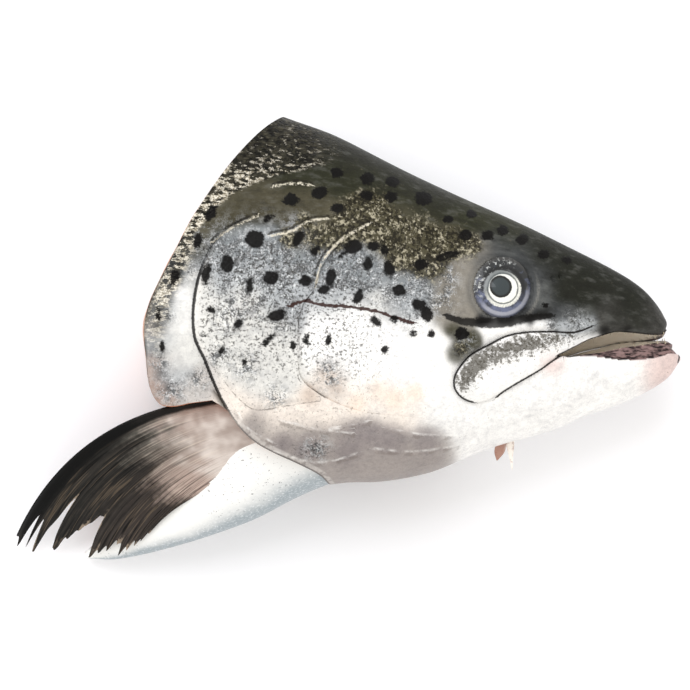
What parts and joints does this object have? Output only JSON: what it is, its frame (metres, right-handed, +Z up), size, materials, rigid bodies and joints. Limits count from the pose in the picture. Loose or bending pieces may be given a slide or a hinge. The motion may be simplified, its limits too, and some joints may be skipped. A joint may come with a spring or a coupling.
{
  "type": "salmon head",
  "caption": "Raw salmon head with collar, cut off behind the shoulder and lying on its side, with slightly open mouth, gill covers, eyes and pectoral fins.",
  "frame": {"origin": "centre of the bounding box at the table, z = 0", "axes": "+X to the snout, +Y to the fish's back, +Z up out of the right cheek; the fish lies on its left side"},
  "size_m": [0.2344, 0.1573, 0.0694],
  "materials": {
    "head_skin": "wet skin, olive-black over bronze speckle with dark spots, silvery below",
    "gill_cover_skin": "wet silver-white skin over bone with black spots",
    "jaw_skin": "wet white skin with grey mottling",
    "belly_skin": "smooth wet white skin, cut edges of pale orange flesh",
    "fin": "thin wet rays, brown-pink at the base and black at the tips",
    "flesh": "moist cut flesh",
    "eye": "wet, silver iris and dark pupil",
    "teeth": "small wet bony points"
  },
  "bodies": {
    "root": {"head": "head_skin", "lower_jaw": "jaw_skin", "right_gill_cover": "gill_cover_skin", "left_gill_cover": "gill_cover_skin", "right_maxilla": "jaw_skin", "left_maxilla": "jaw_skin", "right_eye": "eye", "left_eye": "eye", "right_pectoral_fin": "fin", "left_pectoral_fin": "fin", "belly_flap": "belly_skin", "throat_tag": "flesh"}
  },
  "joints": []
}
